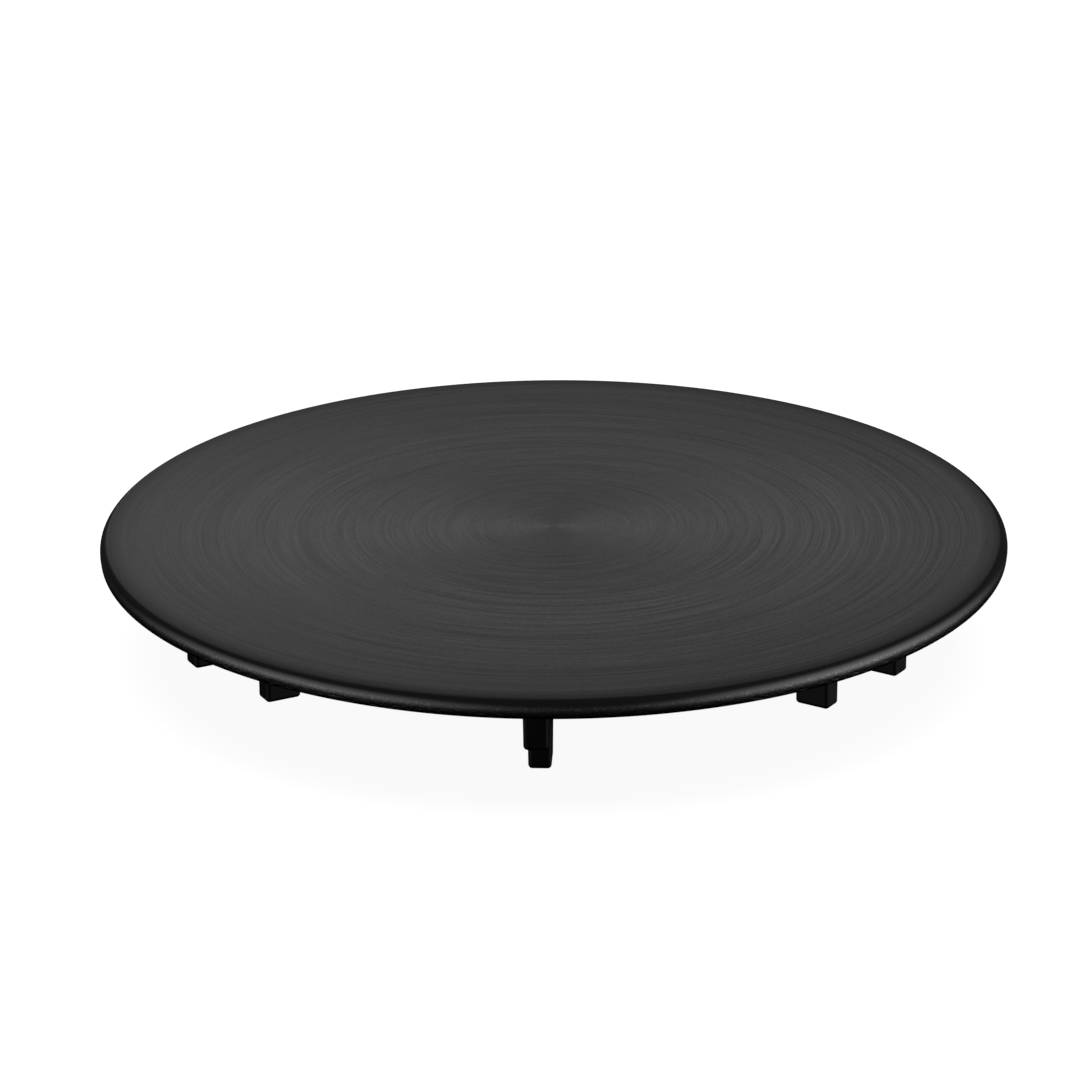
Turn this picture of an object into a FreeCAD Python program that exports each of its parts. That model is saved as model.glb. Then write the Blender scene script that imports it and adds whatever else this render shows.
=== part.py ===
"""Round drain cover: a blanked and brushed steel plate on a moulded six-legged carrier.

Millimetres, +Z up. The origin is on the cover's axis, in the plane of the leg tips, and the
first leg points along -Y. Each leg is a stepped blade: its shelf rests on the drain's flange and
holds the plate up, so that water runs in under the rim, and its finger reaches down inside the
drain's bowl and keeps the cover centred. The carrier hangs on studs welded to the plate's
underside, each with a push-on lock washer.
"""
import FreeCAD, Part
import math
import os

# Cover plate
COVER_DIAMETER = 112.0
COVER_THICKNESS = 2.2
ROLL_RADIUS = 1.2           # rounded top edge left by the blanking die
FALL_WIDTH = 1.7            # ring inside the rounded edge where the face already falls away
FALL_DEPTH = 0.06
FRACTURE_HEIGHT = 0.75      # rough lower part of the blanked edge
LEAST_SMOOTH_HEIGHT = 0.02  # smooth band that a thin plate still keeps above the rough part
FRACTURE_SETBACK = 0.06
BURR_RADIUS = 0.2

# Legs
LEG_COUNT = 6
RIM_OVERHANG = 6.8          # from the plate's edge in to the legs' outer ends
STAND_OFF = 6.85            # from the flange up to the plate's underside
SHELF_LENGTH = 9.3          # part of the leg that rests on the flange
FINGER_LENGTH = 4.55        # measured along the radius
FINGER_DROP = 6.35          # from the shelf down to the tip
BLADE_THICKNESS = 3.1       # at the plate's underside
DRAFT_ANGLE = 0.75          # degrees on each side of a blade
LEG_ROUNDING = 0.5
ROOT_RADIUS = 1.2           # hollow between a blade and the strap above it
GUSSET_CLEARANCE = 1.2      # from a boss out to the foot of the gusset
GUSSET_DEPTH = 7.5          # where the gusset meets the finger, below the plate

# Carrier
STRAP_THICKNESS = 2.0
STRAP_WIDTH = 8.0
STRAP_INSET = 0.8           # from the legs' outer ends in to the straps' ends
STRAP_END_RADIUS = 2.5
HUB_OUTER_RADIUS = 15.0
HUB_BORE_RADIUS = 9.0
TIE_RING_WIDTH = 3.0
WEB_FILLET = 1.5            # in plan, where straps meet the hub and the tie ring
MOULD_ROUNDING = 0.4        # lower edges of the hub, ring and straps
RIB_DEPTH = 3.4             # shallow inner rib, below the plate
BOSS_RADIUS = 4.2
BOSS_DEPTH = 4.2            # below the plate
BOSS_ROUNDING = 0.3
PIN_MARK_RADIUS = 1.1       # round marks left by the mould's ejector pins
PIN_MARK_DEPTH = 0.15

# Welded studs
STUD_RADIUS = 1.5
STUD_LENGTH = 6.6
STUD_TIP_CHAMFER = 0.35
STUD_FLANGE_RADIUS = 2.25
STUD_FLANGE_THICKNESS = 0.7
STUD_HOLE_CLEARANCE = 0.15
FLANGE_POCKET_CLEARANCE = 0.35

# Push-on lock washers
WASHER_RADIUS = 3.8
WASHER_THICKNESS = 0.3
WASHER_RING_WIDTH = 1.1
TOOTH_RISE = 0.45           # how far the teeth's tips stand off the ring
TOOTH_COUNT = 6
TOOTH_SLOT_WIDTH = 0.5
TOOTH_GAP = 0.02

# Derived places
COVER_RADIUS = COVER_DIAMETER / 2
LEG_OUTER = COVER_RADIUS - RIM_OVERHANG
FINGER_OUTER = LEG_OUTER - SHELF_LENGTH
FINGER_INNER = FINGER_OUTER - FINGER_LENGTH
TIE_RING_INNER = FINGER_INNER - TIE_RING_WIDTH
STUD_CIRCLE = (HUB_OUTER_RADIUS + TIE_RING_INNER) / 2
GUSSET_START = STUD_CIRCLE + BOSS_RADIUS + GUSSET_CLEARANCE
Z_SHELF = FINGER_DROP
Z_UNDERSIDE = Z_SHELF + STAND_OFF
Z_TOP = Z_UNDERSIDE + COVER_THICKNESS
Z_STRAP = Z_UNDERSIDE - STRAP_THICKNESS
Z_RIB = Z_UNDERSIDE - RIB_DEPTH
Z_BOSS = Z_UNDERSIDE - BOSS_DEPTH
POCKET_DEPTH = STUD_FLANGE_THICKNESS + FLANGE_POCKET_CLEARANCE
OVERSHOOT = 1.0             # how far a cutting tool runs past what it cuts
UP = FreeCAD.Vector(0, 0, 1)
AXIS_BASE = FreeCAD.Vector(0, 0, 0)


def at(r, z):
    """Point at radius r and height z, in the XZ plane."""
    return FreeCAD.Vector(r, 0, z)


def arc_about(centre, radius, start, end):
    """Arc in the XZ plane about centre, from angle start to angle end in degrees above +X."""
    def on_arc(angle):
        turn = math.radians(angle)
        return at(centre.x + radius * math.cos(turn), centre.z + radius * math.sin(turn))
    return Part.Arc(on_arc(start), on_arc((start + end) / 2), on_arc(end)).toShape()


def line(a, b):
    return Part.LineSegment(a, b).toShape()


def ring(outer, inner, z_low, z_high):
    """Flat ring about the Z axis."""
    height = z_high - z_low
    disc = Part.makeCylinder(outer, height, at(0, z_low))
    hole = Part.makeCylinder(inner, height + 2 * OVERSHOOT, at(0, z_low - OVERSHOOT))
    return disc.cut(hole)


def turned(edges):
    """Solid of revolution about Z from a closed outline in the XZ plane."""
    face = Part.Face(Part.Wire(edges))
    solid = face.revolve(AXIS_BASE, UP, 360)
    return Part.makeSolid(solid) if solid.ShapeType == "Shell" else solid


def around(shape, index):
    """Copy of a piece made along +X, turned to leg number index; halves fall between two legs."""
    copy = shape.copy()
    copy.rotate(AXIS_BASE, UP, -90 + index * 360 / LEG_COUNT)
    return copy


def cover_plate():
    """Blanked disc: flat face, soft fall, rounded edge, smooth band, rough band, small burr.

    The rounded edge is limited by the plate's wall, so that the smooth and rough bands fit below it.
    """
    roll = min(ROLL_RADIUS, COVER_THICKNESS - FALL_DEPTH - FRACTURE_HEIGHT - LEAST_SMOOTH_HEIGHT)
    fall_radius = (FALL_WIDTH ** 2 + FALL_DEPTH ** 2) / (2 * FALL_DEPTH)
    slope = math.degrees(math.asin(FALL_WIDTH / fall_radius))
    roll_inset = roll * (1 - math.sin(math.radians(slope)))
    fall_start = at(COVER_RADIUS - roll_inset - FALL_WIDTH, Z_TOP)
    fall_centre = at(fall_start.x, Z_TOP - fall_radius)
    roll_centre = at(COVER_RADIUS - roll, Z_TOP - FALL_DEPTH - roll * math.cos(math.radians(slope)))
    smooth_low = at(COVER_RADIUS, Z_UNDERSIDE + FRACTURE_HEIGHT)
    burr_centre = at(COVER_RADIUS - FRACTURE_SETBACK - BURR_RADIUS, Z_UNDERSIDE + BURR_RADIUS)
    rough_low = at(burr_centre.x + BURR_RADIUS, burr_centre.z)
    under_edge = at(burr_centre.x, Z_UNDERSIDE)
    return turned([
        line(at(0, Z_UNDERSIDE), at(0, Z_TOP)),
        line(at(0, Z_TOP), fall_start),
        arc_about(fall_centre, fall_radius, 90, 90 - slope),
        arc_about(roll_centre, roll, 90 - slope, 0),
        line(at(COVER_RADIUS, roll_centre.z), smooth_low),
        line(smooth_low, rough_low),
        arc_about(burr_centre, BURR_RADIUS, 0, -90),
        line(under_edge, at(0, Z_UNDERSIDE)),
    ])


def blade_outline(outer):
    """Side view of one leg with its inner rib, from the hub out to the given radius."""
    corners = [
        at(HUB_BORE_RADIUS + STRAP_THICKNESS, Z_UNDERSIDE),
        at(outer, Z_UNDERSIDE),
        at(outer, Z_SHELF),
        at(FINGER_OUTER, Z_SHELF),
        at(FINGER_OUTER, 0),
        at(FINGER_INNER, 0),
        at(FINGER_INNER, Z_UNDERSIDE - GUSSET_DEPTH),
        at(GUSSET_START, Z_RIB),
        at(HUB_BORE_RADIUS + STRAP_THICKNESS, Z_RIB),
    ]
    return Part.Face(Part.makePolygon(corners + corners[:1]))


def half_width(z):
    """Half the thickness of a drafted blade at height z."""
    return BLADE_THICKNESS / 2 - (Z_UNDERSIDE - z) * math.tan(math.radians(DRAFT_ANGLE))


def across(y, z):
    """Point in the YZ plane."""
    return FreeCAD.Vector(0, y, z)


def blade_section():
    """End view of a blade: two drafted sides."""
    z_low = -OVERSHOOT
    corners = [
        across(half_width(z_low), z_low),
        across(half_width(Z_UNDERSIDE), Z_UNDERSIDE),
        across(-half_width(Z_UNDERSIDE), Z_UNDERSIDE),
        across(-half_width(z_low), z_low),
    ]
    return Part.Face(Part.makePolygon(corners + corners[:1]))


def root_section():
    """End view of the two hollow corners where a blade runs into its strap."""
    z_low = Z_STRAP - ROOT_RADIUS
    narrow = half_width(z_low)
    bend = ROOT_RADIUS * (1 - math.cos(math.radians(45)))

    def side(sign):
        return (across(sign * narrow, z_low), across(sign * (narrow + bend), Z_STRAP - bend),
                across(sign * (narrow + ROOT_RADIUS), Z_STRAP))

    right = side(1)
    left = side(-1)
    return Part.Face(Part.Wire([
        Part.Arc(*right).toShape(),
        line(right[2], left[2]),
        Part.Arc(*left).toShape(),
        line(left[0], right[0]),
    ]))


def blade_body(section, outer):
    """Solid that has the side view of a leg and the given end view."""
    side_view = blade_outline(outer)
    side_view.translate(FreeCAD.Vector(0, -STRAP_WIDTH / 2, 0))
    slab = side_view.extrude(FreeCAD.Vector(0, STRAP_WIDTH, 0))
    return slab.common(section.extrude(FreeCAD.Vector(COVER_RADIUS, 0, 0))).Solids[0]


def leg_blade():
    """One stepped blade along +X, drafted, rounded and flared into its strap."""
    blade = blade_body(blade_section(), LEG_OUTER)
    leg_edges = [e for e in blade.Edges
                 if e.BoundBox.ZMin < Z_RIB - 1e-3 and e.BoundBox.XMax > FINGER_INNER - 1e-3]
    blade = blade.makeFillet(LEG_ROUNDING, leg_edges)
    return blade.fuse(blade_body(root_section(), LEG_OUTER - LEG_ROUNDING))


def carrier_web():
    """Flat hub, tie ring and straps, rounded in plan and along their lower edges."""
    web = ring(HUB_OUTER_RADIUS, HUB_BORE_RADIUS, Z_STRAP, Z_UNDERSIDE)
    web = web.fuse(ring(FINGER_INNER, TIE_RING_INNER, Z_STRAP, Z_UNDERSIDE))
    start = (HUB_BORE_RADIUS + HUB_OUTER_RADIUS) / 2
    end = LEG_OUTER - STRAP_INSET
    strap = Part.makeBox(end - start, STRAP_WIDTH, STRAP_THICKNESS,
                         FreeCAD.Vector(start, -STRAP_WIDTH / 2, Z_STRAP))
    outer_corners = [e for e in strap.Edges
                     if e.BoundBox.XMin > end - 1e-6 and e.BoundBox.ZLength > STRAP_THICKNESS / 2]
    strap = strap.makeFillet(STRAP_END_RADIUS, outer_corners)
    web = web.fuse([around(strap, i) for i in range(LEG_COUNT)]).removeSplitter()
    inner_corners = [e for e in web.Edges
                     if e.BoundBox.ZLength > STRAP_THICKNESS / 2 and is_strap_corner(e)]
    web = web.makeFillet(WEB_FILLET, inner_corners)
    lower_edges = [e for e in web.Edges if e.BoundBox.ZMax < Z_STRAP + 1e-6]
    return web.makeFillet(MOULD_ROUNDING, lower_edges)


def is_strap_corner(edge):
    """True for an upright edge where a strap's side meets the hub or the tie ring."""
    point = edge.Vertexes[0].Point
    radius = math.hypot(point.x, point.y)
    meets = (HUB_OUTER_RADIUS, TIE_RING_INNER, FINGER_INNER)
    return len(edge.Vertexes) == 2 and any(abs(radius - r) < 1e-4 for r in meets)


def stud_boss():
    """Round boss on a strap, along +X."""
    boss = Part.makeCylinder(BOSS_RADIUS, BOSS_DEPTH, at(STUD_CIRCLE, Z_BOSS))
    rim = [e for e in boss.Edges if e.BoundBox.ZMax < Z_BOSS + 1e-6]
    return boss.makeFillet(BOSS_ROUNDING, rim)


def stud_hole():
    """Through hole for the stud with the pocket that clears its weld flange."""
    hole = Part.makeCylinder(STUD_RADIUS + STUD_HOLE_CLEARANCE, BOSS_DEPTH + 2 * OVERSHOOT,
                             at(STUD_CIRCLE, Z_BOSS - OVERSHOOT))
    pocket = Part.makeCylinder(STUD_FLANGE_RADIUS + FLANGE_POCKET_CLEARANCE,
                               POCKET_DEPTH + OVERSHOOT,
                               at(STUD_CIRCLE, Z_UNDERSIDE - POCKET_DEPTH))
    return hole.fuse(pocket)


def pin_marks():
    """Shallow ejector marks on the hub and the tie ring, in line along +X."""
    middles = ((HUB_BORE_RADIUS + HUB_OUTER_RADIUS) / 2, (TIE_RING_INNER + FINGER_INNER) / 2)
    marks = [Part.makeCylinder(PIN_MARK_RADIUS, PIN_MARK_DEPTH + OVERSHOOT,
                               at(r, Z_STRAP - OVERSHOOT)) for r in middles]
    return marks[0].fuse(marks[1])


def leg_carrier():
    """The one moulding under the plate: web, bosses and legs."""
    blade = leg_blade()
    boss = stud_boss()
    hole = stud_hole()
    added = [around(p, i) for i in range(LEG_COUNT) for p in (blade, boss)]
    carrier = carrier_web().fuse(added)
    marks = pin_marks()
    carrier = carrier.cut([around(hole, i) for i in range(LEG_COUNT)])
    carrier = carrier.cut([around(marks, i + 0.5) for i in range(LEG_COUNT)])
    return carrier.removeSplitter()


def weld_stud():
    """Flanged stud, welded by its flange to the plate's underside."""
    z_tip = Z_UNDERSIDE - STUD_LENGTH
    shank = Part.makeCylinder(STUD_RADIUS, STUD_LENGTH, at(STUD_CIRCLE, z_tip))
    tip = [e for e in shank.Edges if e.BoundBox.ZMax < z_tip + 1e-6]
    shank = shank.makeChamfer(STUD_TIP_CHAMFER, tip)
    flange = Part.makeCylinder(STUD_FLANGE_RADIUS, STUD_FLANGE_THICKNESS,
                               at(STUD_CIRCLE, Z_UNDERSIDE - STUD_FLANGE_THICKNESS))
    return shank.fuse(flange).removeSplitter()


def lock_washer():
    """Spring washer pushed up the stud: a flat ring with teeth that lean down along it."""
    z_high = Z_BOSS
    z_low = z_high - WASHER_THICKNESS
    flat_inner = WASHER_RADIUS - WASHER_RING_WIDTH
    tooth_tip = STUD_RADIUS + TOOTH_GAP
    outline = [
        at(WASHER_RADIUS, z_high),
        at(WASHER_RADIUS, z_low),
        at(flat_inner, z_low),
        at(tooth_tip, z_low - TOOTH_RISE),
        at(tooth_tip, z_high - TOOTH_RISE),
        at(flat_inner, z_high),
    ]
    washer = turned(Part.makePolygon(outline + outline[:1]).Edges)
    slot = Part.makeBox(flat_inner, TOOTH_SLOT_WIDTH, TOOTH_RISE + 4 * OVERSHOOT,
                        FreeCAD.Vector(0, -TOOTH_SLOT_WIDTH / 2, z_low - 2 * OVERSHOOT))
    for i in range(TOOTH_COUNT):
        cutter = slot.copy()
        cutter.rotate(AXIS_BASE, UP, i * 360 / TOOTH_COUNT)
        washer = washer.cut(cutter)
    washer.translate(at(STUD_CIRCLE, 0))
    return washer


def export(name, shape):
    """Write one node and stop on a shape that isn't one sound solid."""
    if len(shape.Solids) != 1 or not shape.isValid():
        raise ValueError("%s is not one valid solid" % name)
    shape.Solids[0].exportStep(os.path.join("parts", name + ".step"))


def main():
    os.makedirs("parts", exist_ok=True)
    export("cover_plate", cover_plate())
    export("leg_carrier", leg_carrier())
    stud = weld_stud()
    washer = lock_washer()
    for i in range(LEG_COUNT):
        export("weld_stud_%d" % (i + 1), around(stud, i))
        export("lock_washer_%d" % (i + 1), around(washer, i))


main()
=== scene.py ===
"""Round drain cover: the finished looks of a brushed black steel plate on its moulded legs.

The file is laid out as an add-on and run as a script. Every length is in metres, in the frame's
own axes: +Z is up, and the origin is on the cover's axis in the plane of the leg tips.
"""
import math

import bpy
from bpy.props import FloatProperty, FloatVectorProperty, IntProperty, PointerProperty
from mathutils import Matrix, Vector


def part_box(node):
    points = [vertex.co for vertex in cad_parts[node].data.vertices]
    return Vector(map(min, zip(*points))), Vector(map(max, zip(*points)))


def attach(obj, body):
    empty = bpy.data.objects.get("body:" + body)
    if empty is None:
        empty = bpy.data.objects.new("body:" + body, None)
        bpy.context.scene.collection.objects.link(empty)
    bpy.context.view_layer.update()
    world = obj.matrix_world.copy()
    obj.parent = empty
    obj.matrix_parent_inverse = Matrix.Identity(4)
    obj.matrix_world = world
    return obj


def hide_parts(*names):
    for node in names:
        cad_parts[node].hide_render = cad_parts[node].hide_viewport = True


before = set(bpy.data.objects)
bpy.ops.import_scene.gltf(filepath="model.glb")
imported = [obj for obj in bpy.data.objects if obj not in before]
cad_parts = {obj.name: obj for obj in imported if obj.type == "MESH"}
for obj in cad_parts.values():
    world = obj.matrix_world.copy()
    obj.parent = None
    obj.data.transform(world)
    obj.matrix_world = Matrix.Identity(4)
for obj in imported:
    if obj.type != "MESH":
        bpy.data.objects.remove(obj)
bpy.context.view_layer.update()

bl_info = {
    "name": "Round Drain Cover",
    "version": (1, 0, 0),
    "blender": (4, 5, 0),
    "location": "3D View > Sidebar > Drain Cover",
    "description": "Turns the plate, finishes the carrier and its fixings, and sets the studio",
    "category": "Object",
}

MM = 0.001
PLATE_LOW, PLATE_HIGH = (Vector(corner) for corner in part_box("cover_plate"))
COVER_RADIUS = (PLATE_HIGH.x - PLATE_LOW.x) / 2
Z_TOP = PLATE_HIGH.z
Z_UNDERSIDE = PLATE_LOW.z
Z_MIDDLE = (Z_TOP + Z_UNDERSIDE) / 2
STUDS = sorted(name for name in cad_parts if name.startswith("weld_stud"))
WASHERS = sorted(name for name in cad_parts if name.startswith("lock_washer"))


def linear(hex_colour, alpha=1.0):
    """Linear RGBA from an sRGB hex value such as "#3a3a3b"."""
    parts = [int(hex_colour[i:i + 2], 16) / 255 for i in (1, 3, 5)]
    rgb = [c / 12.92 if c <= 0.04045 else ((c + 0.055) / 1.055) ** 2.4 for c in parts]
    return (*rgb, alpha)


def colour_setting(name, hex_colour, description):
    return FloatVectorProperty(name=name, description=description, subtype="COLOR", size=4,
                               min=0.0, max=1.0, default=linear(hex_colour))


def length_setting(name, millimetres, description):
    return FloatProperty(name=name, description=description, unit="LENGTH", precision=5,
                         min=0.0, default=millimetres * MM)


# ---------------------------------------------------------------- settings

class PlateSettings(bpy.types.PropertyGroup):
    """Sizes of the blanked edge, and how finely the plate is turned."""
    roll_radius: length_setting("Roll Radius", 1.2, "Rounded top edge left by the blanking die")
    fall_width: length_setting("Fall Width", 1.7, "Ring where the face already falls away")
    fall_depth: length_setting("Fall Depth", 0.06, "How far the face falls before the edge")
    smooth_height: length_setting("Smooth Band", 0.19, "Upright band that the punch smoothed")
    setback: length_setting("Setback", 0.06, "How far the rough band leans in")
    burr_radius: length_setting("Burr Radius", 0.2, "Tumbled lower edge")
    chip_depth: length_setting("Chip Depth", 0.045, "Deepest tear in the rough band")
    chip_size: length_setting("Chip Size", 0.45, "Usual width of a tear in the rough band")
    chip_seed: IntProperty(name="Chip Seed", description="Which tears the rough band has",
                           default=11)
    steps_around: IntProperty(name="Steps Around", description="Facets around the plate",
                              default=1500, min=64, max=1700)


class FinishSettings(bpy.types.PropertyGroup):
    """Colours and grain of the finishes."""
    steel_dark: colour_setting("Brushed Dark", "#303031", "Low part of the brushed grain")
    steel_light: colour_setting("Brushed Light", "#555556", "High part of the brushed grain")
    edge_colour: colour_setting("Edge", "#6f6f70", "Coated steel of the rounded edge")
    # Pale steel on the rough band's high spots: partly wear through the coat, partly painted glints
    wear_and_glint_colour: colour_setting("Wear", "#acacac", "Steel that shows through on high spots")
    mill_dark: colour_setting("Rolled Dark", "#232324", "Low part of the underside's rolling lines")
    mill_light: colour_setting("Rolled Light", "#39393a", "High part of the underside's rolling lines")
    plastic: colour_setting("Moulded Plastic", "#060606", "Black of the moulded carrier")
    scuff: colour_setting("Scuffed Plastic", "#101011", "Black of the carrier where it is scuffed")
    drawn_dark: colour_setting("Drawn Dark", "#8d8c89", "Low part of the studs' drawing lines")
    drawn_light: colour_setting("Drawn Light", "#b9b8b4", "High part of the studs' drawing lines")
    zinc_dark: colour_setting("Zinc Dark", "#5f5d59", "Dark mottling on the washers")
    zinc_light: colour_setting("Zinc Light", "#8f8c86", "Light mottling on the washers")
    hairline: length_setting("Hairline", 0.2, "Width of one brushed line across the grain")


class StudioSettings(bpy.types.PropertyGroup):
    """Where the camera stands and how the studio is lit."""
    elevation: FloatProperty(name="Elevation", description="Camera above the horizon",
                             subtype="ANGLE", default=math.radians(20.88))
    yaw: FloatProperty(name="Yaw", description="Camera round to the right of the front leg",
                       subtype="ANGLE", default=math.radians(2.55))
    roll: FloatProperty(name="Roll", description="Camera turned about its view",
                        subtype="ANGLE", default=math.radians(0.32))
    distance: length_setting("Distance", 622.0, "Camera from the middle of the brushed face")
    lens: FloatProperty(name="Lens", description="Focal length on a 36 mm sensor", default=167.6)
    aim_left: length_setting("Aim Left", 1.69, "Aim point left of the middle of the face")
    aim_down: length_setting("Aim Down", 1.72, "Aim point below the middle of the face")
    back_light: FloatProperty(name="Back Light", description="Brightness of the softbox behind",
                              default=0.62, min=0.0)
    right_light: FloatProperty(name="Right Light", description="Brightness of the softbox at right",
                               default=1.15, min=0.0)
    left_light: FloatProperty(name="Left Light", description="Brightness of the softbox at left",
                              default=0.75, min=0.0)
    fill_light: FloatProperty(name="Fill Light", description="Brightness of the room between them",
                              default=0.03, min=0.0)
    top_light: FloatProperty(name="Top Light", description="Power of the overhead softbox in W",
                             default=8.9, min=0.0)


# ---------------------------------------------------------------- nodes

def add_node(tree, kind, inputs=None, **settings):
    """Add a node with its settings; each input is a value, or a socket to link from."""
    node = tree.nodes.new(kind)
    for name, value in settings.items():
        setattr(node, name, value)
    for key, value in (inputs or {}).items():
        if isinstance(value, bpy.types.NodeSocket):
            tree.links.new(value, node.inputs[key])
        else:
            node.inputs[key].default_value = value
    return node


def new_material(name):
    """Empty node material; returns it with its tree."""
    material = bpy.data.materials.new(name)
    material.use_nodes = True
    material.node_tree.nodes.clear()
    return material, material.node_tree


def finish_material(tree, inputs):
    """End a material in one shader and its output."""
    shader = add_node(tree, "ShaderNodeBsdfPrincipled", inputs)
    add_node(tree, "ShaderNodeOutputMaterial", {"Surface": shader.outputs["BSDF"]})


# ---------------------------------------------------------------- materials

def round_coordinates(tree):
    """Radius from the cover's axis, and the direction away from it, on Object coordinates."""
    place = add_node(tree, "ShaderNodeTexCoord").outputs["Object"]
    flat = add_node(tree, "ShaderNodeVectorMath", {0: place, 1: (1.0, 1.0, 0.0)},
                    operation="MULTIPLY").outputs["Vector"]
    radius = add_node(tree, "ShaderNodeVectorMath", {0: flat}, operation="LENGTH").outputs["Value"]
    outward = add_node(tree, "ShaderNodeVectorMath", {0: flat}, operation="NORMALIZE").outputs["Vector"]
    return place, radius, outward


def grain_around(tree, radius, outward, width, arcs, detail):
    """Noise drawn out into arcs about the axis: width across the grain, arcs per radian along it."""
    across = add_node(tree, "ShaderNodeMath", {0: radius, 1: 1 / width}, operation="MULTIPLY")
    along = add_node(tree, "ShaderNodeVectorMath", {0: outward, "Scale": arcs}, operation="SCALE")
    split = add_node(tree, "ShaderNodeSeparateXYZ", {"Vector": along.outputs["Vector"]})
    place = add_node(tree, "ShaderNodeCombineXYZ", {"X": split.outputs["X"], "Y": split.outputs["Y"],
                                                    "Z": across.outputs["Value"]})
    return add_node(tree, "ShaderNodeTexNoise", {"Vector": place.outputs["Vector"], "Scale": 1.0,
                                                 "Detail": detail, "Roughness": 0.7}).outputs["Fac"]


def brushed_black_steel(finish):
    """Stainless sheet, brushed in circles under a thin black coat: a soft sheen fans out sideways.

    The real brushed lines are a few hundredths of a millimetre wide, which is too fine to show in the
    render, so they are drawn as coarse as they need to show.
    """
    uneven_width = 8 * finish.hairline
    scratch_width = 1.5 * finish.hairline
    grit_size = 0.3 * MM
    pit_spacing = 2.2 * MM
    material, tree = new_material("brushed_black_steel")
    place, radius, outward = round_coordinates(tree)
    fine = grain_around(tree, radius, outward, finish.hairline, 1.5, 2.0)
    uneven = grain_around(tree, radius, outward, uneven_width, 1.0, 3.0)
    grain = add_node(tree, "ShaderNodeMix", {"Factor": 0.07, "A": fine, "B": uneven}).outputs["Result"]
    ramp = add_node(tree, "ShaderNodeMapRange", {"Value": grain, "From Min": 0.33, "From Max": 0.67})
    colour = add_node(tree, "ShaderNodeMix", {"Factor": ramp.outputs["Result"], 6: finish.steel_dark,
                                              7: finish.steel_light}, data_type="RGBA").outputs[2]

    # Single deeper scratches: the lowest troughs of a slower noise, in arcs of a few centimetres,
    # with more of them in the outer half, where the brush runs fast
    drift = grain_around(tree, radius, outward, scratch_width, 0.9, 0.0)
    trough = add_node(tree, "ShaderNodeMapRange", {"Value": radius, "From Min": 0.45 * COVER_RADIUS,
                                                   "From Max": 0.9 * COVER_RADIUS, "To Min": 0.25,
                                                   "To Max": 0.38}).outputs["Result"]
    scratch = add_node(tree, "ShaderNodeMapRange", {"Value": drift, "From Min": 0.2,
                                                    "From Max": trough, "To Min": 0.6,
                                                    "To Max": 1.0}).outputs["Result"]

    # Grit in the coat, and a few small pits
    grit = add_node(tree, "ShaderNodeTexNoise", {"Vector": place, "Scale": 1 / grit_size,
                                                 "Detail": 1.0}).outputs["Fac"]
    grit = add_node(tree, "ShaderNodeMapRange", {"Value": grit, "From Min": 0.25, "From Max": 0.75,
                                                 "To Min": 0.8, "To Max": 1.2}).outputs["Result"]
    cells = add_node(tree, "ShaderNodeTexVoronoi", {"Vector": place, "Scale": 1 / pit_spacing})
    pit = add_node(tree, "ShaderNodeMapRange", {"Value": cells.outputs["Distance"], "From Min": 0.03,
                                                "From Max": 0.06, "To Min": 0.45,
                                                "To Max": 1.0}).outputs["Result"]

    # The face is darker towards the edge, and its last ring, where the face turns into the roll, is
    # painted darkest of all as a line of painted shade
    fade = add_node(tree, "ShaderNodeMapRange", {"Value": radius, "From Min": 0.62 * COVER_RADIUS,
                                                 "From Max": COVER_RADIUS - 3 * MM, "To Min": 1.0,
                                                 "To Max": 0.73}).outputs["Result"]
    # Painted shade: a dark ring painted where the face starts to roll over
    painted_rim_shade = add_node(tree, "ShaderNodeMapRange", {"Value": radius, "From Min": COVER_RADIUS - 3.4 * MM,
                                                "From Max": COVER_RADIUS - 1.0 * MM, "To Min": 1.0,
                                                "To Max": 0.25}).outputs["Result"]

    # Towards the middle the face is painted darker all round, a painted shade; the brush runs slower
    # there, which leaves a sharper sheen
    painted_centre_shade = add_node(tree, "ShaderNodeMapRange", {"Value": radius, "From Max": 0.45 * COVER_RADIUS,
                                                 "To Min": 0.62, "To Max": 1.0}).outputs["Result"]
    sheen = add_node(tree, "ShaderNodeMapRange", {"Value": radius, "From Max": 0.4 * COVER_RADIUS,
                                                  "To Min": 0.78, "To Max": 1.0}).outputs["Result"]
    shade = scratch
    for factor in (grit, pit, fade, painted_rim_shade, painted_centre_shade):
        shade = add_node(tree, "ShaderNodeMath", {0: shade, 1: factor}, operation="MULTIPLY").outputs[0]
    shaded = add_node(tree, "ShaderNodeVectorMath", {0: colour, "Scale": shade}, operation="SCALE")
    satin = add_node(tree, "ShaderNodeMapRange", {"Value": grain, "From Min": 0.3, "From Max": 0.7,
                                                  "To Min": 0.36, "To Max": 0.46}).outputs["Result"]
    rough = add_node(tree, "ShaderNodeMath", {0: satin, 1: sheen}, operation="MULTIPLY")
    bump = add_node(tree, "ShaderNodeBump", {"Height": fine, "Strength": 0.3,
                                             "Distance": 0.01 * MM})
    finish_material(tree, {"Base Color": shaded.outputs["Vector"], "Metallic": 0.5,
                           "Roughness": rough.outputs["Value"], "Anisotropic": 0.7,
                           "Tangent": outward, "Normal": bump.outputs["Normal"]})
    return material


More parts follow.
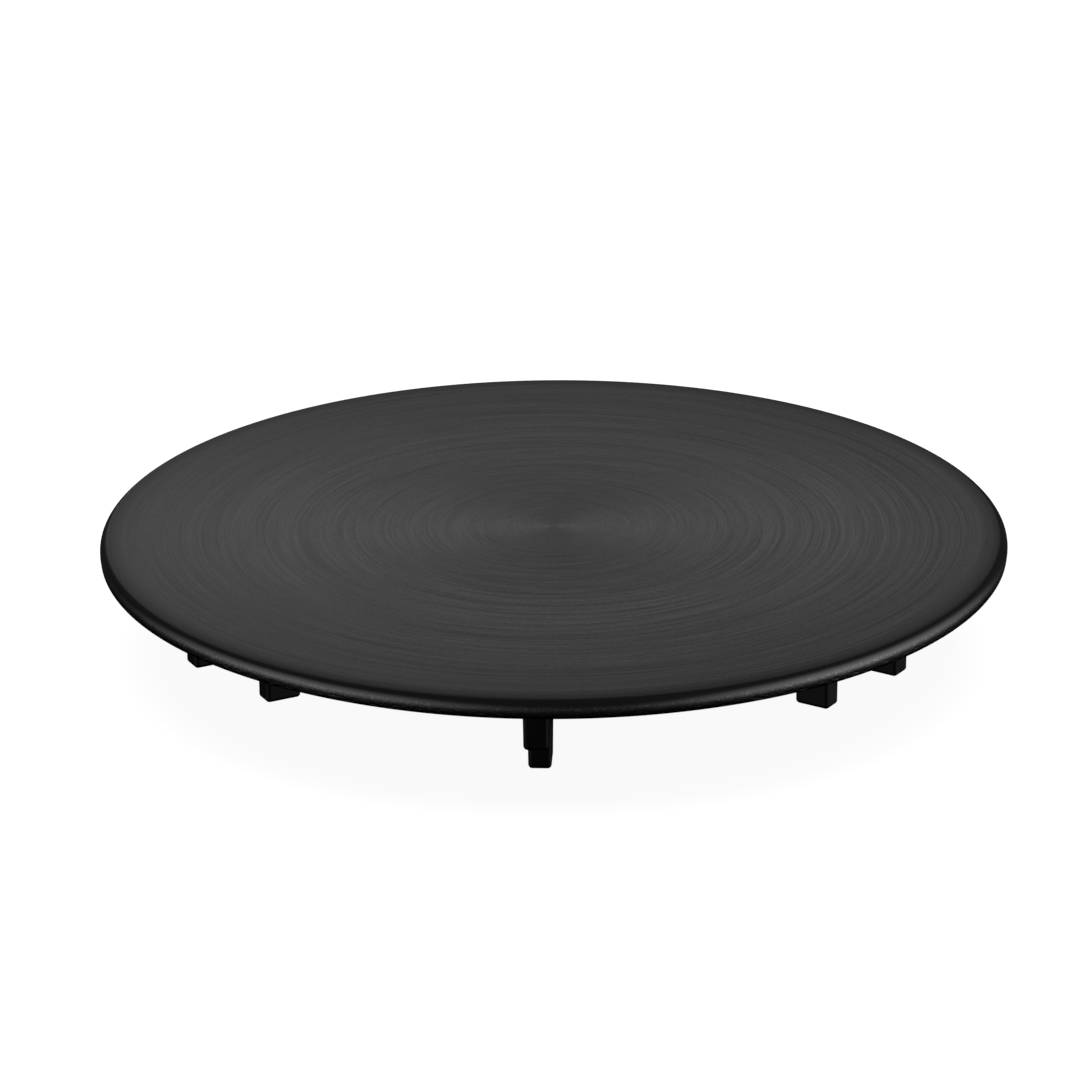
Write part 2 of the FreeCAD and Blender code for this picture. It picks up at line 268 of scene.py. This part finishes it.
def blanked_edge_steel(finish):
    """The same coated sheet where the press cut it.

    The press leaves a smooth, rolled upper part. Below it the metal is grainy, and its high spots are
    pale: partly steel rubbed through the coat, partly painted glints, drawn as coarse as they need to
    show. The lowest edge is painted near black, a painted shade.
    """
    grain_top = Z_UNDERSIDE + 1.6 * MM
    grain_full = Z_UNDERSIDE + 1.2 * MM
    grain_thin = Z_UNDERSIDE + 0.6 * MM
    grain_low = Z_UNDERSIDE + 0.3 * MM
    lip_shade_top = Z_UNDERSIDE + 0.55 * MM
    lip_shade_low = Z_UNDERSIDE + 0.12 * MM
    brush_low = Z_TOP - 0.45 * MM
    brush_top = Z_TOP - 0.2 * MM
    grit_size = 0.2 * MM
    cloud_size = 5 * MM
    material, tree = new_material("blanked_edge_steel")
    place = add_node(tree, "ShaderNodeTexCoord").outputs["Object"]
    height = add_node(tree, "ShaderNodeSeparateXYZ", {"Vector": place}).outputs["Z"]
    above = add_node(tree, "ShaderNodeMapRange", {"Value": height, "From Min": grain_top,
                                                  "From Max": grain_full}).outputs["Result"]
    below = add_node(tree, "ShaderNodeMapRange", {"Value": height, "From Min": grain_low,
                                                  "From Max": grain_thin,
                                                  "To Min": 0.15}).outputs["Result"]
    grainy = add_node(tree, "ShaderNodeMath", {0: above, 1: below}, operation="MULTIPLY").outputs[0]
    # Painted shade: the colour darkens to near black over the lowest 0.55 mm of the edge
    painted_lip_shade = add_node(tree, "ShaderNodeMapRange", {"Value": height, "From Min": lip_shade_top,
                                                "From Max": lip_shade_low, "To Min": 1.0,
                                                "To Max": 0.05}).outputs["Result"]
    grit = add_node(tree, "ShaderNodeTexNoise", {"Vector": place, "Scale": 1 / grit_size,
                                                 "Detail": 2.0, "Roughness": 0.65}).outputs["Fac"]
    # High spots of the grainy band: steel rubbed through the coat, with painted glints
    wear_and_glint_spots = add_node(tree, "ShaderNodeMapRange", {"Value": grit, "From Min": 0.54,
                                                 "From Max": 0.68}).outputs["Result"]
    wear_and_painted_glints = add_node(tree, "ShaderNodeMath", {0: wear_and_glint_spots, 1: grainy}, operation="MULTIPLY").outputs[0]
    metal = add_node(tree, "ShaderNodeMix", {"Factor": wear_and_painted_glints, 6: finish.edge_colour,
                                             7: finish.wear_and_glint_colour}, data_type="RGBA").outputs[2]
    colour = add_node(tree, "ShaderNodeVectorMath", {0: metal, "Scale": painted_lip_shade}, operation="SCALE")
    cloud = add_node(tree, "ShaderNodeTexNoise", {"Vector": place, "Scale": 1 / cloud_size,
                                                  "Detail": 4.0}).outputs["Fac"]
    satin = add_node(tree, "ShaderNodeMapRange", {"Value": cloud, "To Min": 0.16,
                                                  "To Max": 0.3}).outputs["Result"]
    # The brush still reaches the start of the roll, so that part is duller
    brushed = add_node(tree, "ShaderNodeMapRange", {"Value": height, "From Min": brush_low,
                                                    "From Max": brush_top}).outputs["Result"]
    dull = add_node(tree, "ShaderNodeMath", {0: grainy, 1: brushed}, operation="MAXIMUM").outputs[0]
    rough = add_node(tree, "ShaderNodeMix", {"Factor": dull, "A": satin, "B": 0.36})
    relief = add_node(tree, "ShaderNodeMath", {0: grit, 1: grainy}, operation="MULTIPLY")
    bump = add_node(tree, "ShaderNodeBump", {"Height": relief.outputs["Value"], "Strength": 0.55,
                                             "Distance": 0.04 * MM})
    finish_material(tree, {"Base Color": colour.outputs["Vector"], "Metallic": 1.0,
                           "Roughness": rough.outputs["Result"], "Normal": bump.outputs["Normal"]})
    return material


def rolled_black_steel(finish):
    """The plate's underside: mill-rolled sheet under the same black coat, dull and a little uneven.

    Real rolling lines are finer than the render can show, so these are drawn 0.45 mm wide and 17 mm
    long, as coarse as they need to show.
    """
    lines_per_metre = (60.0, 2200.0, 60.0)
    cloud_size = 14 * MM
    material, tree = new_material("rolled_black_steel")
    place = add_node(tree, "ShaderNodeTexCoord").outputs["Object"]
    rolled = add_node(tree, "ShaderNodeMapping", {"Vector": place, "Scale": lines_per_metre})
    lines = add_node(tree, "ShaderNodeTexNoise", {"Vector": rolled.outputs["Vector"], "Scale": 1.0,
                                                  "Detail": 3.0}).outputs["Fac"]
    cloud = add_node(tree, "ShaderNodeTexNoise", {"Vector": place, "Scale": 1 / cloud_size,
                                                  "Detail": 3.0}).outputs["Fac"]
    both = add_node(tree, "ShaderNodeMix", {"Factor": 0.5, "A": lines, "B": cloud}).outputs["Result"]
    colour = add_node(tree, "ShaderNodeMix", {"Factor": both, 6: finish.mill_dark,
                                              7: finish.mill_light}, data_type="RGBA")
    rough = add_node(tree, "ShaderNodeMapRange", {"Value": both, "To Min": 0.36, "To Max": 0.62})
    bump = add_node(tree, "ShaderNodeBump", {"Height": lines, "Strength": 0.2, "Distance": 0.01 * MM})
    finish_material(tree, {"Base Color": colour.outputs[2], "Metallic": 1.0,
                           "Roughness": rough.outputs["Result"], "Normal": bump.outputs["Normal"]})
    return material


def moulded_black_plastic(finish):
    """ABS from a spark-eroded mould: near black, satin, with a fine even texture and faint scuffs.

    The real texture has grains of about 0.05 mm, which are too fine to show in the render, so they
    are drawn as coarse as they need to show.
    """
    pebble_size = 0.22 * MM
    cloud_size = 7 * MM
    material, tree = new_material("moulded_black_plastic")
    place = add_node(tree, "ShaderNodeTexCoord").outputs["Object"]
    pebble = add_node(tree, "ShaderNodeTexNoise", {"Vector": place, "Scale": 1 / pebble_size,
                                                   "Detail": 2.0}).outputs["Fac"]
    cloud = add_node(tree, "ShaderNodeTexNoise", {"Vector": place, "Scale": 1 / cloud_size,
                                                  "Detail": 3.0}).outputs["Fac"]
    scuffed = add_node(tree, "ShaderNodeMapRange", {"Value": cloud, "From Min": 0.55,
                                                    "From Max": 0.75}).outputs["Result"]
    colour = add_node(tree, "ShaderNodeMix", {"Factor": scuffed, 6: finish.plastic,
                                              7: finish.scuff}, data_type="RGBA")
    rough = add_node(tree, "ShaderNodeMapRange", {"Value": cloud, "To Min": 0.3, "To Max": 0.5})
    bump = add_node(tree, "ShaderNodeBump", {"Height": pebble, "Strength": 0.25,
                                             "Distance": 0.02 * MM})
    finish_material(tree, {"Base Color": colour.outputs[2], "IOR": 1.53,
                           "Roughness": rough.outputs["Result"], "Normal": bump.outputs["Normal"]})
    return material


def drawn_steel(finish):
    """Bright drawn stud wire: clean grey metal with fine lines along its length.

    Real drawing lines are a few hundredths of a millimetre wide, which is too fine to show in the
    render, so these are drawn 0.17 mm wide and 3 mm long.
    """
    lines_per_metre = (6000.0, 6000.0, 300.0)
    material, tree = new_material("drawn_steel")
    place = add_node(tree, "ShaderNodeTexCoord").outputs["Object"]
    drawn = add_node(tree, "ShaderNodeMapping", {"Vector": place, "Scale": lines_per_metre})
    lines = add_node(tree, "ShaderNodeTexNoise", {"Vector": drawn.outputs["Vector"], "Scale": 1.0,
                                                  "Detail": 2.0}).outputs["Fac"]
    colour = add_node(tree, "ShaderNodeMix", {"Factor": lines, 6: finish.drawn_dark,
                                              7: finish.drawn_light}, data_type="RGBA")
    rough = add_node(tree, "ShaderNodeMapRange", {"Value": lines, "To Min": 0.2, "To Max": 0.42})
    finish_material(tree, {"Base Color": colour.outputs[2], "Metallic": 1.0,
                           "Roughness": rough.outputs["Result"]})
    return material


def plated_spring_steel(finish):
    """Zinc-plated spring strip: greyer and duller than the studs, with a mottled plating."""
    mottle_size = 1.1 * MM
    material, tree = new_material("plated_spring_steel")
    place = add_node(tree, "ShaderNodeTexCoord").outputs["Object"]
    mottle = add_node(tree, "ShaderNodeTexNoise", {"Vector": place, "Scale": 1 / mottle_size,
                                                   "Detail": 4.0}).outputs["Fac"]
    colour = add_node(tree, "ShaderNodeMix", {"Factor": mottle, 6: finish.zinc_dark,
                                              7: finish.zinc_light}, data_type="RGBA")
    rough = add_node(tree, "ShaderNodeMapRange", {"Value": mottle, "To Min": 0.28, "To Max": 0.5})
    finish_material(tree, {"Base Color": colour.outputs[2], "Metallic": 1.0,
                           "Roughness": rough.outputs["Result"]})
    return material


# ---------------------------------------------------------------- cover plate

# Rows of faces in each part of the plate's edge
FALL_ROWS = 4
ROLL_ROWS = 14
ROUGH_ROWS = 12
BURR_ROWS = 4
# Share of the roll's radius, past the end of the face, that still has the face's finish
BRUSHED_ROLL = 0.1


def arc_points(centre, radius, start, end, count):
    """Points (radius, height) on an arc, from angle start to end above the horizontal."""
    turns = [start + (end - start) * i / count for i in range(count + 1)]
    return [(centre[0] + radius * math.cos(a), centre[1] + radius * math.sin(a)) for a in turns]


def plate_outline(plate):
    """Half section of the plate as (radius, height), from the middle of the face to the underside's."""
    fall_radius = (plate.fall_width ** 2 + plate.fall_depth ** 2) / (2 * plate.fall_depth)
    slope = math.asin(plate.fall_width / fall_radius)
    roll_start = COVER_RADIUS - plate.roll_radius * (1 - math.sin(slope))
    fall_start = roll_start - plate.fall_width
    roll_centre = (COVER_RADIUS - plate.roll_radius,
                   Z_TOP - plate.fall_depth - plate.roll_radius * math.cos(slope))
    rough_top = (COVER_RADIUS, roll_centre[1] - plate.smooth_height)
    burr_centre = (COVER_RADIUS - plate.setback - plate.burr_radius,
                   Z_UNDERSIDE + plate.burr_radius)
    rough_low = (burr_centre[0] + plate.burr_radius, burr_centre[1])
    rough = [(rough_top[0] + (rough_low[0] - rough_top[0]) * i / ROUGH_ROWS,
              rough_top[1] + (rough_low[1] - rough_top[1]) * i / ROUGH_ROWS)
             for i in range(1, ROUGH_ROWS)]
    face = [(fall_start * share, Z_TOP) for share in (0.0, 0.1, 0.3, 0.6, 0.85)]
    under = [(burr_centre[0] * share, Z_UNDERSIDE) for share in (0.85, 0.5, 0.15, 0.0)]
    quarter = math.pi / 2
    return (face
            + arc_points((fall_start, Z_TOP - fall_radius), fall_radius, quarter, quarter - slope,
                         FALL_ROWS)[:-1]
            + arc_points(roll_centre, plate.roll_radius, quarter - slope, 0.0, ROLL_ROWS)
            + [rough_top] + rough
            + arc_points(burr_centre, plate.burr_radius, 0.0, -quarter, BURR_ROWS)
            + under), roll_start


def turning_tree():
    """Geometry nodes that turn an outline about Z, tear its rough band and give it three finishes."""
    tree = bpy.data.node_groups.new("Turned Plate", "GeometryNodeTree")
    new_socket = tree.interface.new_socket
    new_socket("Outline", in_out="INPUT", socket_type="NodeSocketGeometry")
    for name in ("Outline Points", "Steps Around"):
        new_socket(name, in_out="INPUT", socket_type="NodeSocketInt")
    for name in ("Rough Top", "Rough Low", "Chip Depth", "Chip Size", "Chip Seed", "Face Radius",
                 "Middle Height"):
        new_socket(name, in_out="INPUT", socket_type="NodeSocketFloat")
    for name in ("Face", "Edge", "Underside"):
        new_socket(name, in_out="INPUT", socket_type="NodeSocketMaterial")
    new_socket("Plate", in_out="OUTPUT", socket_type="NodeSocketGeometry")
    given = add_node(tree, "NodeGroupInput").outputs

    # A grid with one column for each step around and one row for each outline point
    columns = add_node(tree, "FunctionNodeIntegerMath", {0: given["Steps Around"], 1: 1},
                       operation="ADD").outputs[0]
    grid = add_node(tree, "GeometryNodeMeshGrid", {"Vertices X": columns,
                                                   "Vertices Y": given["Outline Points"]})
    index = add_node(tree, "GeometryNodeInputIndex").outputs[0]
    column = add_node(tree, "FunctionNodeIntegerMath", {0: index, 1: given["Outline Points"]},
                      operation="DIVIDE_FLOOR").outputs[0]
    row = add_node(tree, "FunctionNodeIntegerMath", {0: index, 1: given["Outline Points"]},
                   operation="FLOORED_MODULO").outputs[0]
    place = add_node(tree, "GeometryNodeInputPosition").outputs[0]
    on_outline = add_node(tree, "GeometryNodeSampleIndex",
                          {"Geometry": given["Outline"], "Value": place, "Index": row},
                          data_type="FLOAT_VECTOR", domain="POINT").outputs[0]
    split = add_node(tree, "ShaderNodeSeparateXYZ", {0: on_outline}).outputs
    step = add_node(tree, "ShaderNodeMath", {0: 2 * math.pi, 1: given["Steps Around"]},
                    operation="DIVIDE").outputs[0]
    turn = add_node(tree, "ShaderNodeMath", {0: column, 1: step}, operation="MULTIPLY").outputs[0]
    cosine = add_node(tree, "ShaderNodeMath", {0: turn}, operation="COSINE").outputs[0]
    sine = add_node(tree, "ShaderNodeMath", {0: turn}, operation="SINE").outputs[0]
    x = add_node(tree, "ShaderNodeMath", {0: split["X"], 1: cosine}, operation="MULTIPLY").outputs[0]
    y = add_node(tree, "ShaderNodeMath", {0: split["X"], 1: sine}, operation="MULTIPLY").outputs[0]
    turned = add_node(tree, "ShaderNodeCombineXYZ", {"X": x, "Y": y, "Z": split["Z"]}).outputs[0]
    wrapped = add_node(tree, "GeometryNodeSetPosition", {"Geometry": grid.outputs["Mesh"],
                                                         "Position": turned}).outputs[0]
    closed = add_node(tree, "GeometryNodeMergeByDistance",
                      {"Geometry": wrapped, "Distance": 0.001 * MM}).outputs[0]

    # Tears: noise pushes the rough band inward, fading out at the band's two ends
    size = add_node(tree, "ShaderNodeMath", {0: 1.0, 1: given["Chip Size"]},
                    operation="DIVIDE").outputs[0]
    noise = add_node(tree, "ShaderNodeTexNoise", {"Vector": place, "W": given["Chip Seed"],
                                                  "Scale": size, "Detail": 3.0},
                     noise_dimensions="4D").outputs["Fac"]
    tear = add_node(tree, "ShaderNodeMapRange", {"Value": noise, "From Min": 0.42, "From Max": 0.72},
                    interpolation_type="SMOOTHSTEP").outputs["Result"]
    height = add_node(tree, "ShaderNodeSeparateXYZ", {0: place}).outputs["Z"]
    band = add_node(tree, "ShaderNodeMapRange", {"Value": height, "From Min": given["Rough Low"],
                                                 "From Max": given["Rough Top"],
                                                 "To Min": -1.0, "To Max": 1.0}).outputs["Result"]
    inside = add_node(tree, "ShaderNodeMath", {0: band, 1: 4.0}, operation="POWER").outputs[0]
    fade = add_node(tree, "ShaderNodeMath", {0: 1.0, 1: inside}, operation="SUBTRACT").outputs[0]
    push = add_node(tree, "ShaderNodeMath", {0: tear, 1: fade}, operation="MULTIPLY").outputs[0]
    depth = add_node(tree, "ShaderNodeMath", {0: push, 1: given["Chip Depth"]},
                     operation="MULTIPLY").outputs[0]
    flat = add_node(tree, "ShaderNodeVectorMath", {0: place, 1: (-1.0, -1.0, 0.0)},
                    operation="MULTIPLY").outputs[0]
    inward = add_node(tree, "ShaderNodeVectorMath", {0: flat}, operation="NORMALIZE").outputs[0]
    offset = add_node(tree, "ShaderNodeVectorMath", {0: inward, "Scale": depth},
                      operation="SCALE").outputs[0]
    torn = add_node(tree, "GeometryNodeSetPosition", {"Geometry": closed, "Offset": offset}).outputs[0]

    # Finishes
    radius = add_node(tree, "ShaderNodeVectorMath", {0: flat}, operation="LENGTH").outputs["Value"]
    within = add_node(tree, "FunctionNodeCompare", {0: radius, 1: given["Face Radius"]},
                      operation="LESS_THAN").outputs[0]
    upper = add_node(tree, "FunctionNodeCompare", {0: height, 1: given["Middle Height"]},
                     operation="GREATER_THAN").outputs[0]
    lower = add_node(tree, "FunctionNodeCompare", {0: height, 1: given["Middle Height"]},
                     operation="LESS_THAN").outputs[0]
    on_face = add_node(tree, "FunctionNodeBooleanMath", {0: within, 1: upper},
                       operation="AND").outputs[0]
    on_under = add_node(tree, "FunctionNodeBooleanMath", {0: within, 1: lower},
                        operation="AND").outputs[0]
    smooth = add_node(tree, "GeometryNodeSetShadeSmooth", {"Geometry": torn}).outputs[0]
    real = add_node(tree, "GeometryNodeRealizeInstances", {"Geometry": smooth}).outputs[0]
    edge = add_node(tree, "GeometryNodeSetMaterial", {"Geometry": real,
                                                      "Material": given["Edge"]}).outputs[0]
    top = add_node(tree, "GeometryNodeSetMaterial", {"Geometry": edge, "Selection": on_face,
                                                     "Material": given["Face"]}).outputs[0]
    under = add_node(tree, "GeometryNodeSetMaterial", {"Geometry": top, "Selection": on_under,
                                                       "Material": given["Underside"]}).outputs[0]
    add_node(tree, "NodeGroupOutput", {"Plate": under})
    return tree


def grown_mesh(name, start_mesh, tree, inputs):
    """Run a geometry node tree on a mesh and keep its result as a plain mesh."""
    seed = bpy.data.objects.new(name + "_seed", start_mesh)
    bpy.context.scene.collection.objects.link(seed)
    modifier = seed.modifiers.new("Nodes", "NODES")
    modifier.node_group = tree
    sockets = {item.name: item.identifier for item in tree.interface.items_tree
               if item.item_type == "SOCKET" and item.in_out == "INPUT"}
    for label, value in inputs.items():
        modifier[sockets[label]] = value
    seed.update_tag()
    graph = bpy.context.evaluated_depsgraph_get()
    mesh = bpy.data.meshes.new_from_object(seed.evaluated_get(graph), depsgraph=graph)
    seed.modifiers.clear()
    bpy.data.objects.remove(seed)
    mesh.name = name
    return mesh


class OBJECT_OT_drain_cover_plate(bpy.types.Operator):
    """Turn the plate with its rolled and torn edge, and give it its brushed face"""
    bl_idname = "object.drain_cover_plate"
    bl_label = "Cover Plate"

    def execute(self, context):
        plate = context.scene.drain_plate
        finish = context.scene.drain_finish
        outline, face_radius = plate_outline(plate)
        start = bpy.data.meshes.new("plate_outline")
        start.from_pydata([(r, 0.0, z) for r, z in outline],
                          [(i, i + 1) for i in range(len(outline) - 1)], [])
        mesh = grown_mesh("turned_cover_plate", start, turning_tree(), {
            "Outline Points": len(outline),
            "Steps Around": plate.steps_around,
            "Rough Top": Z_TOP - plate.fall_depth - plate.roll_radius - plate.smooth_height,
            "Rough Low": Z_UNDERSIDE + plate.burr_radius,
            "Chip Depth": plate.chip_depth,
            "Chip Size": plate.chip_size,
            "Chip Seed": float(plate.chip_seed),
            "Face Radius": face_radius + BRUSHED_ROLL * plate.roll_radius,
            "Middle Height": Z_MIDDLE,
            "Face": brushed_black_steel(finish),
            "Edge": blanked_edge_steel(finish),
            "Underside": rolled_black_steel(finish),
        })
        piece = bpy.data.objects.new("turned_cover_plate", mesh)
        context.scene.collection.objects.link(piece)
        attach(piece, "root")
        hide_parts("cover_plate")
        return {"FINISHED"}


# ---------------------------------------------------------------- carrier and fixings

def give_finish(names, material):
    """Put one material in every slot of the named CAD nodes."""
    for name in names:
        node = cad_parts[name]
        if not node.material_slots:
            raise RuntimeError("%s has no material slot" % name)
        for place in node.material_slots:
            place.material = material


class OBJECT_OT_drain_leg_carrier(bpy.types.Operator):
    """Give the moulded carrier and its legs their satin black plastic"""
    bl_idname = "object.drain_leg_carrier"
    bl_label = "Leg Carrier"

    def execute(self, context):
        give_finish(["leg_carrier"], moulded_black_plastic(context.scene.drain_finish))
        return {"FINISHED"}


class OBJECT_OT_drain_fixings(bpy.types.Operator):
    """Give the weld studs and the lock washers their bare and plated steel"""
    bl_idname = "object.drain_fixings"
    bl_label = "Studs and Washers"

    def execute(self, context):
        finish = context.scene.drain_finish
        give_finish(STUDS, drawn_steel(finish))
        give_finish(WASHERS, plated_spring_steel(finish))
        return {"FINISHED"}


# ---------------------------------------------------------------- studio

# Soft round lights behind, at right and at left: degrees round from behind towards the right,
# degrees above the horizon, and degrees from a light's middle to where it ends
SOFT_LIGHTS = ((-8, 20, 19), (98, 3, 58), (-118, 3, 58))
FLOOR_HALF = 40 * COVER_RADIUS
SOFTBOX_SIZE = 16 * COVER_RADIUS
SOFTBOX_HEIGHT = 14 * COVER_RADIUS


def pale_floor():
    """Seamless pale paper, lit a little from behind so that the shadow on it stays faint."""
    material, tree = new_material("pale_floor")
    paper = add_node(tree, "ShaderNodeBsdfDiffuse", {"Color": linear("#6a6a6a")})
    glow = add_node(tree, "ShaderNodeEmission", {"Color": linear("#ffffff"), "Strength": 0.94})
    both = add_node(tree, "ShaderNodeAddShader", {0: paper.outputs[0], 1: glow.outputs[0]})
    add_node(tree, "ShaderNodeOutputMaterial", {"Surface": both.outputs[0]})
    corners = [(x * FLOOR_HALF, y * FLOOR_HALF, 0) for x, y in ((-1, -1), (1, -1), (1, 1), (-1, 1))]
    mesh = bpy.data.meshes.new("floor")
    mesh.from_pydata(corners, [], [(0, 1, 2, 3)])
    mesh.materials.append(material)
    floor = bpy.data.objects.new("floor", mesh)
    floor.visible_glossy = False
    floor.visible_diffuse = False
    floor.visible_shadow = False
    return floor


def studio_room(studio):
    """Pale room for the eye; for the lights, a dim room with a soft round light on three sides."""
    world = bpy.data.worlds.new("studio")
    world.use_nodes = True
    tree = world.node_tree
    tree.nodes.clear()
    way = add_node(tree, "ShaderNodeTexCoord").outputs["Generated"]
    total = studio.fill_light
    strengths = (studio.back_light, studio.right_light, studio.left_light)
    for strength, (azimuth, elevation, spread) in zip(strengths, SOFT_LIGHTS):
        turn = math.radians(azimuth)
        rise = math.radians(elevation)
        centre = (math.sin(turn) * math.cos(rise), math.cos(turn) * math.cos(rise), math.sin(rise))
        near = add_node(tree, "ShaderNodeVectorMath", {0: way, 1: centre}, operation="DOT_PRODUCT")
        apart = add_node(tree, "ShaderNodeMath", {0: near.outputs["Value"]}, operation="ARCCOSINE")
        glow = add_node(tree, "ShaderNodeMapRange", {"Value": apart.outputs[0],
                                                     "From Max": math.radians(spread),
                                                     "To Min": strength, "To Max": 0.0})
        total = add_node(tree, "ShaderNodeMath", {0: total, 1: glow.outputs["Result"]}).outputs[0]
    # All of it fades out below the horizon
    height = add_node(tree, "ShaderNodeSeparateXYZ", {0: way}).outputs["Z"]
    above = add_node(tree, "ShaderNodeMapRange", {"Value": height, "From Min": -0.5, "From Max": 0.02,
                                                  "To Min": 0.0}, interpolation_type="SMOOTHSTEP")
    total = add_node(tree, "ShaderNodeMath", {0: total, 1: above.outputs["Result"]},
                     operation="MULTIPLY").outputs[0]
    lit = add_node(tree, "ShaderNodeBackground", {"Color": linear("#ffffff"), "Strength": total})
    pale = add_node(tree, "ShaderNodeBackground", {"Color": linear("#ffffff"), "Strength": 1.0})
    ray = add_node(tree, "ShaderNodeLightPath").outputs["Is Camera Ray"]
    both = add_node(tree, "ShaderNodeMixShader", {0: ray, 1: lit.outputs[0], 2: pale.outputs[0]})
    add_node(tree, "ShaderNodeOutputWorld", {"Surface": both.outputs[0]})
    return world


def studio_camera(studio):
    """Camera in front of the front leg, a little to its right, looking down on the face."""
    middle = Vector((0.0, 0.0, Z_TOP))
    away = Vector((math.sin(studio.yaw) * math.cos(studio.elevation),
                   -math.cos(studio.yaw) * math.cos(studio.elevation),
                   math.sin(studio.elevation)))
    right = Vector((math.cos(studio.yaw), math.sin(studio.yaw), 0.0))
    up = away.cross(right)
    place = middle + away * studio.distance
    aim = middle - right * studio.aim_left - up * studio.aim_down
    back = (place - aim).normalized()
    side = up.cross(back).normalized()
    axes = Matrix((side, back.cross(side), back)).transposed()
    data = bpy.data.cameras.new("studio_camera")
    data.sensor_width = 36.0
    data.lens = studio.lens
    camera = bpy.data.objects.new("studio_camera", data)
    turned = axes @ Matrix.Rotation(-studio.roll, 3, "Z")
    camera.matrix_world = Matrix.Translation(place) @ turned.to_4x4()
    return camera


class OBJECT_OT_drain_stage(bpy.types.Operator):
    """Lay the pale floor, light the studio and set up the camera"""
    bl_idname = "object.drain_stage"
    bl_label = "Studio"

    def execute(self, context):
        studio = context.scene.drain_studio
        scene = context.scene
        floor = pale_floor()
        scene.collection.objects.link(floor)
        scene.world = studio_room(studio)
        lamp = bpy.data.lights.new("overhead_softbox", "AREA")
        lamp.energy = studio.top_light
        lamp.size = SOFTBOX_SIZE
        softbox = bpy.data.objects.new("overhead_softbox", lamp)
        softbox.location = (0.0, 0.0, SOFTBOX_HEIGHT)
        # It lights the surfaces evenly from above, and isn't mirrored in them
        softbox.visible_glossy = False
        scene.collection.objects.link(softbox)
        camera = studio_camera(studio)
        scene.collection.objects.link(camera)
        scene.camera = camera
        scene.view_settings.view_transform = "Standard"
        return {"FINISHED"}


# ---------------------------------------------------------------- add-on

class VIEW3D_PT_drain_cover(bpy.types.Panel):
    """Lists the cover's pieces and the studio"""
    bl_idname = "VIEW3D_PT_drain_cover"
    bl_label = "Drain Cover"
    bl_space_type = "VIEW_3D"
    bl_region_type = "UI"
    bl_category = "Drain Cover"

    def draw(self, context):
        for maker in MAKERS:
            self.layout.operator(maker.bl_idname)
        for settings in (context.scene.drain_plate, context.scene.drain_finish,
                         context.scene.drain_studio):
            box = self.layout.box()
            for name in settings.__annotations__:
                box.prop(settings, name)


MAKERS = (OBJECT_OT_drain_cover_plate, OBJECT_OT_drain_leg_carrier, OBJECT_OT_drain_fixings,
          OBJECT_OT_drain_stage)
CLASSES = (PlateSettings, FinishSettings, StudioSettings, *MAKERS, VIEW3D_PT_drain_cover)


def register():
    for made in CLASSES:
        bpy.utils.register_class(made)
    bpy.types.Scene.drain_plate = PointerProperty(type=PlateSettings)
    bpy.types.Scene.drain_finish = PointerProperty(type=FinishSettings)
    bpy.types.Scene.drain_studio = PointerProperty(type=StudioSettings)


def unregister():
    del bpy.types.Scene.drain_studio
    del bpy.types.Scene.drain_finish
    del bpy.types.Scene.drain_plate
    for made in reversed(CLASSES):
        bpy.utils.unregister_class(made)


def main():
    register()
    bpy.ops.object.drain_cover_plate()
    bpy.ops.object.drain_leg_carrier()
    bpy.ops.object.drain_fixings()
    bpy.ops.object.drain_stage()


if __name__ == "__main__":
    main()
